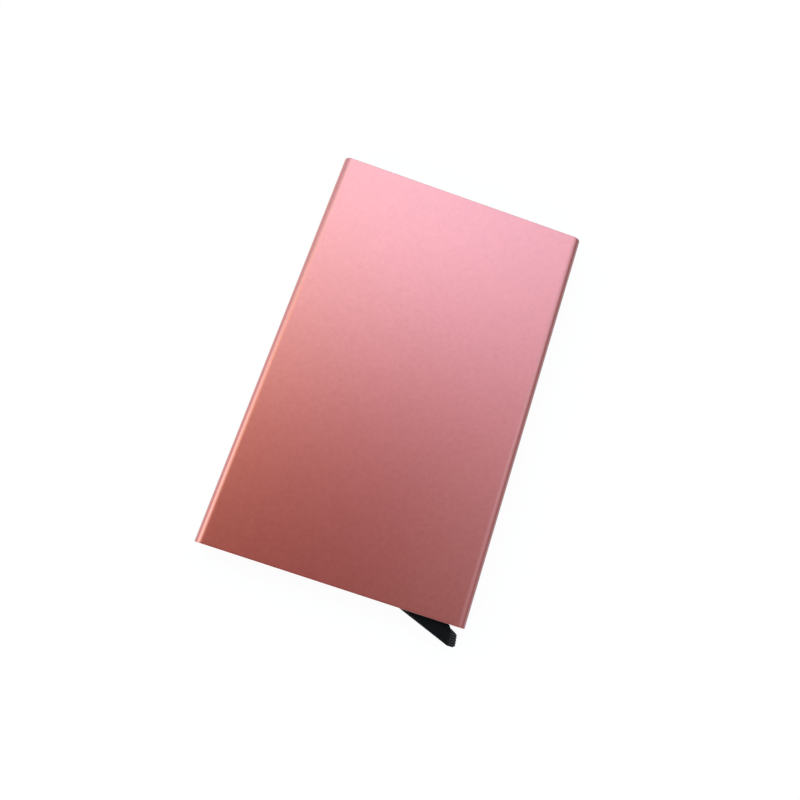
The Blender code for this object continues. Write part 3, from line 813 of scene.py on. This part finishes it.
# %% [markdown]
# ## Rose anodised aluminium
# Anodising grows a clear oxide on bead-blasted metal and fills it with dye. So the colour belongs to
# the metal's own reflection, and a thin clear layer lies over it. The blasting leaves a satin
# surface of tiny dents, and the dye takes unevenly, in fine specks and faint clouds. One rough pink
# metal would be simpler, but it shows a single blur of the room. The real face has a wide coloured
# gradient with a paler and sharper one over it, so the clear layer is a coat, smoother than the
# metal. Its index is 2.28, more than oxide has, because it also stands for the metal's white sheen.

# %% Anodised metal
# Most of the noise lies from 0.36 to 0.64, so the specks are stretched to run from about 0 to 1.
ROSE = (0.60, 0.096, 0.071, 1.0)
ROSE_DEEP = (0.54, 0.074, 0.054, 1.0)
anodised, nodes = new_material("anodised_rose")
dents = nodes.noise(0.2 * MM, detail=2.0, roughness=0.6)
specks = 3.6 * nodes.noise(1.2 * MM, detail=4.0, roughness=0.8) - 1.3
clouds = nodes.noise(7 * MM, detail=3.0)
nodes.principled(
    base_color=nodes.mix(0.75 * specks + 0.25 * clouds, ROSE, ROSE_DEEP),
    metallic=1.0,
    roughness=0.36 + 0.05 * clouds + 0.04 * dents,
    coat_weight=1.0,
    coat_roughness=0.2,
    coat_ior=2.28,
    normal=nodes.bump(0.4 * dents + 0.2 * specks, 0.01 * MM),
)
dress(anodised, sleeve)

# %% [markdown]
# ## Black plastics, steel and felt
# The mouldings are black ABS from a finely etched mould: dark, satin, with a grain that catches the
# light in points. The lever is handled, so it is a touch smoother, and the tops of its ribs are
# polished. A flat black would hide all of that, so one function makes both plastics, with its own
# grain, smudges and gloss for each. The steel is ground along its length, and felt is a tangle of
# fibres that scatters light softly.

# %% Black mouldings
LEVER_INK = (0.0025, 0.0026, 0.0032, 1.0)
FRAME_INK = (0.009, 0.009, 0.010, 1.0)
PALE_TIMES = 1.6
POLISH_FROM = 28.4 * MM
POLISH_FADE = MM


def black_plastic(name, colour, roughness, grain_size, gloss, ribs=None):
    """Etched black plastic: a fine grain in bump, slow smudges in roughness, and a weak or strong
    gloss. ribs gives x where polish begins, y of one rib and the distance to the next: their tops
    are worn shiny, which is a coat whose weight is (0.5 + 0.5 cosine of y) squared and grows over
    POLISH_FADE along x."""
    made, nodes = new_material(name)
    polish = 0.0
    if ribs:
        begin, first_y, apart = ribs
        x = nodes.add("ShaderNodeSeparateXYZ", None, {0: nodes.place()}, output="X")
        y = nodes.add("ShaderNodeSeparateXYZ", None, {0: nodes.place()}, output="Y")
        turn = (y - first_y) * (math.tau / apart)
        wave = nodes.add("ShaderNodeMath", {"operation": "COSINE"}, {0: turn})
        top = (0.5 + 0.5 * wave) * (0.5 + 0.5 * wave)
        polish = ((x - begin) / POLISH_FADE).at_least(0.0).at_most(1.0) * top
    grain = nodes.noise(grain_size, detail=3.0, roughness=0.6)
    smudge = nodes.noise(5 * MM, detail=2.0)
    pale = tuple(PALE_TIMES * channel for channel in colour[:3]) + (1.0,)
    nodes.principled(
        base_color=nodes.mix(0.35 * grain + 0.3 * smudge, colour, pale),
        roughness=roughness + 0.12 * smudge + 0.06 * grain,
        specular_ior_level=gloss,
        coat_weight=polish,
        coat_roughness=0.22,
        coat_ior=1.7,
        normal=nodes.bump(grain, 0.012 * MM),
    )
    return made


polished = (POLISH_FROM, rib_y, rib_gap)
dress(black_plastic("lever_black", LEVER_INK, 0.30, 0.12 * MM, gloss=0.11, ribs=polished), lever)
dress(black_plastic("frame_black", FRAME_INK, 0.48, 0.16 * MM, gloss=0.35), inner_frame, cover)

# %% Steel
steel, nodes = new_material("ground_steel")
lines = nodes.noise(0.05 * MM, detail=2.0, stretch=(1, 1, 30))
nodes.principled(
    base_color=nodes.mix(lines, (0.50, 0.50, 0.51, 1.0), (0.66, 0.66, 0.66, 1.0)),
    metallic=1.0,
    roughness=0.22 + 0.16 * lines,
    normal=nodes.bump(lines, 0.002 * MM),
)
dress(steel, pin)

wire_steel, nodes = new_material("spring_wire")
drawn = nodes.noise(0.06 * MM, detail=2.0)
nodes.principled(
    base_color=nodes.mix(drawn, (0.38, 0.38, 0.40, 1.0), (0.56, 0.56, 0.57, 1.0)),
    metallic=1.0,
    roughness=0.25 + 0.15 * drawn,
    normal=nodes.bump(drawn, 0.002 * MM),
)
dress(wire_steel, spring)

# %% Felt
felt, nodes = new_material("black_felt")
tangle = nodes.noise(0.25 * MM, detail=5.0, roughness=0.7)
fibres = nodes.noise(0.1 * MM, detail=3.0, roughness=0.7, stretch=(4, 1, 1))
nodes.principled(
    base_color=nodes.mix(tangle * fibres * 1.8, (0.010, 0.010, 0.011, 1.0), (0.055, 0.055, 0.06, 1.0)),
    roughness=0.95,
    sheen_weight=0.35,
    sheen_roughness=0.5,
    normal=nodes.bump(0.6 * tangle + 0.4 * fibres, 0.08 * MM),
)
dress(felt, rear_felt, front_felt)

# %% [markdown]
# ## Floor
# The holder lies flat on a white floor. A lit white floor comes out a little grey, and more light
# would wash out the metal. So the rays that see the floor, from the camera or mirrored in the metal,
# find a plain glow, and all other rays find matt paint. A small share of the paint stays in what is
# seen, because it carries the shadow. For mirrored rays the glow is painted greyer towards the right:
# a painted shade, so that the tube's right edge mirrors a darker floor than its left edge does.

# %% Lay the floor
FLOOR_REACH = 2.5
square = [(-FLOOR_REACH, -FLOOR_REACH, 0), (FLOOR_REACH, -FLOOR_REACH, 0)]
square += [(FLOOR_REACH, FLOOR_REACH, 0), (-FLOOR_REACH, FLOOR_REACH, 0)]
floor_mesh = bpy.data.meshes.new("floor")
floor_mesh.from_pydata(square, [], [(0, 1, 2, 3)])
floor = bpy.data.objects.new("floor", floor_mesh)
bpy.context.scene.collection.objects.link(floor)
print(f"floor: {2 * FLOOR_REACH:.0f} m square")

# %% Floor paint
# The share of paint in what is seen is darker than white, so GLOW is a touch over 1, and the two
# together come to 1, which is white.
PAINT = (0.85, 0.85, 0.85, 1.0)
WHITE = (1, 1, 1, 1)
# Painted shade: rays mirrored in the metal see the glow turn grey along x between the two limits
# below, so the tube's right edge mirrors a darker floor.
MIRRORED_FLOOR_SHADE = (0.58, 0.63, 0.67, 1)
SHADE_FROM_X, SHADE_TO_X = -10 * MM, 35 * MM
GLOW = 1.025
GLOW_SHARE = 0.92
SMOOTH = {"interpolation_type": "SMOOTHSTEP"}
pale_floor, nodes = new_material("pale_floor")
camera_ray = nodes.add("ShaderNodeLightPath", output="Is Camera Ray")
glossy_ray = nodes.add("ShaderNodeLightPath", output="Is Glossy Ray")
clear_ray = nodes.add("ShaderNodeLightPath", output="Is Transmission Ray")
matt = nodes.add("ShaderNodeBsdfDiffuse", None, {"Color": PAINT})
across = nodes.add("ShaderNodeSeparateXYZ", None, {0: nodes.place()}, output="X")
limits = {"Value": across, "From Min": SHADE_FROM_X, "From Max": SHADE_TO_X}
# Painted shade: for mirrored rays only, the glow's colour goes from white to grey towards the right.
painted_shade_share = nodes.add("ShaderNodeMapRange", SMOOTH, limits)
glow_colour_with_painted_shade = nodes.mix(painted_shade_share * glossy_ray, WHITE, MIRRORED_FLOOR_SHADE)
glow = nodes.add("ShaderNodeEmission", None, {"Color": glow_colour_with_painted_shade, "Strength": GLOW})
seen = (camera_ray + glossy_ray + clear_ray).at_most(1.0)
nodes.show(nodes.add("ShaderNodeMixShader", None, {0: seen * GLOW_SHARE, 1: matt, 2: glow}))
dress(pale_floor, floor)

# %% [markdown]
# ## Camera
# The camera looks down on the holder from above its lower end, turned so that the holder lies
# aslant. It could be aimed by a constraint, but a matrix made of three directions is exact: the
# camera's right, its up, and its back, which points away from what it sees. The holder's four
# corners fix these directions and the place. The shift stands for a photograph that was cropped
# off its middle.

# %% Place the camera
FOCAL_PIXELS = 700
FRAME_PIXELS = 800
SENSOR = 36
OPTICAL_CENTRE = (436, 429)
CAMERA_PLACE = Vector((4.64, -45.619, 167.104)) * MM
CAMERA_RIGHT = Vector((0.9466, 0.30304, 0.11007))
CAMERA_BACK = Vector((-0.04132, -0.22455, 0.97358))
CLIP_NEAR, CLIP_FAR = 0.005, 50
camera_data = bpy.data.cameras.new("camera")
camera_data.sensor_width = SENSOR
camera_data.lens = SENSOR * FOCAL_PIXELS / FRAME_PIXELS
camera_data.shift_x = 0.5 - OPTICAL_CENTRE[0] / FRAME_PIXELS
camera_data.shift_y = OPTICAL_CENTRE[1] / FRAME_PIXELS - 0.5
camera_data.clip_start, camera_data.clip_end = CLIP_NEAR, CLIP_FAR
camera = bpy.data.objects.new("camera", camera_data)
bpy.context.scene.collection.objects.link(camera)
back = CAMERA_BACK.normalized()
up = back.cross(CAMERA_RIGHT.normalized()).normalized()
right = up.cross(back)
turned = Matrix((right, up, back)).transposed().to_4x4()
camera.matrix_world = Matrix.Translation(CAMERA_PLACE) @ turned
bpy.context.scene.camera = camera
print(f"camera: {camera_data.lens:.1f} mm lens, {CAMERA_PLACE.length / MM:.0f} mm from the origin")

# %% [markdown]
# ## Light
# Satin metal shows a blurred picture of the room, so the room is part of the finish. Area lamps
# could light it, but their outlines would show in the coat. Here all light comes from one world
# shader. It is a sum of soft round patches, each the exponential of how far a direction is from the
# patch's middle: a broad window beyond the mouth, a warm patch to the left of it, a bright low patch
# at the left, and an even, dimmer room on the other sides. A pale horizon runs round the room and
# sinks away at the right, because the tube's right edge mirrors a darker place. The camera itself
# sees plain white.

# %% Patches of light
# Each patch is the azimuth and tilt of its middle in degrees, how sharply it ends, and its colour
# times its strength.
SHARP = 30.0
SOFT = 12.0
PATCHES = [
    (90, 34, SHARP, (1.58, 1.70, 2.29)),
    (120, 34, SHARP, (1.44, 1.75, 1.97)),
    (150, 34, SHARP, (1.36, 0.94, 0.11)),
    (0, 18, SHARP, (0.21, 0.23, 0.18)),
    (10, 62, SOFT, (0.58, 0.58, 0.63)),
    (45, 40, SOFT, (1.24, 1.53, 1.86)),
    (135, 60, SOFT, (0.41, 0.90, 1.55)),
    (180, 60, SOFT, (2.19, 2.85, 2.68)),
    (225, 60, SOFT, (0.95, 0.98, 1.05)),
    (270, 60, SOFT, (0.95, 0.98, 1.05)),
    (315, 60, SOFT, (0.80, 0.80, 0.80)),
]


def toward(azimuth, tilt):
    """Unit direction: tilt degrees down from straight up, azimuth degrees from +X towards +Y."""
    azimuth, tilt = math.radians(azimuth), math.radians(tilt)
    return (math.sin(tilt) * math.cos(azimuth), math.sin(tilt) * math.sin(azimuth), math.cos(tilt))


world = bpy.data.worlds.new("room")
bpy.context.scene.world = world
nodes = Nodes(world)
way = nodes.add("ShaderNodeTexCoord", output="Generated")
light = (0.0, 0.0, 0.0)
for azimuth, tilt, sharpness, colour in PATCHES:
    directions = {0: way, 1: toward(azimuth, tilt)}
    near = nodes.add("ShaderNodeVectorMath", {"operation": "DOT_PRODUCT"}, directions, output="Value")
    fall = nodes.add("ShaderNodeMath", {"operation": "EXPONENT"}, {0: sharpness * (near - 1.0)})
    patch = nodes.add("ShaderNodeVectorMath", {"operation": "SCALE"}, {0: colour, "Scale": fall})
    light = nodes.add("ShaderNodeVectorMath", {"operation": "ADD"}, {0: light, 1: patch})
print(f"{len(PATCHES)} patches of light")

# %% Horizon
# A direction's height is its Z. Light is white below HORIZON and the room's own above HORIZON_TOP.
# Towards the right a direction counts as higher than it is, by RISE at most, along an exponential
# of X, so that the white sinks away there.
HORIZON, HORIZON_TOP = 0.1, 0.35
RISE = 0.35
RISE_SHARPNESS = 3.0
to_right = nodes.add("ShaderNodeSeparateXYZ", None, {0: way}, output="X")
height = nodes.add("ShaderNodeSeparateXYZ", None, {0: way}, output="Z")
fall = nodes.add("ShaderNodeMath", {"operation": "EXPONENT"}, {0: RISE_SHARPNESS * (to_right - 1.0)})
limits = {"Value": height + RISE * fall, "From Min": HORIZON_TOP, "From Max": HORIZON}
horizon = nodes.add("ShaderNodeMapRange", SMOOTH, limits)
white = horizon.at_least(nodes.add("ShaderNodeLightPath", output="Is Camera Ray"))
sky = nodes.mix(white, light, WHITE)
background = nodes.add("ShaderNodeBackground", None, {"Color": sky, "Strength": 1.0})
nodes.show(background, "ShaderNodeOutputWorld")
print(f"world: {len(nodes.tree.nodes)} nodes")

# %% [markdown]
# ## Colour view
# The Standard view shows each colour as it is written, where a film look would grey the pink.

# %% View settings
bpy.context.scene.view_settings.view_transform = "Standard"
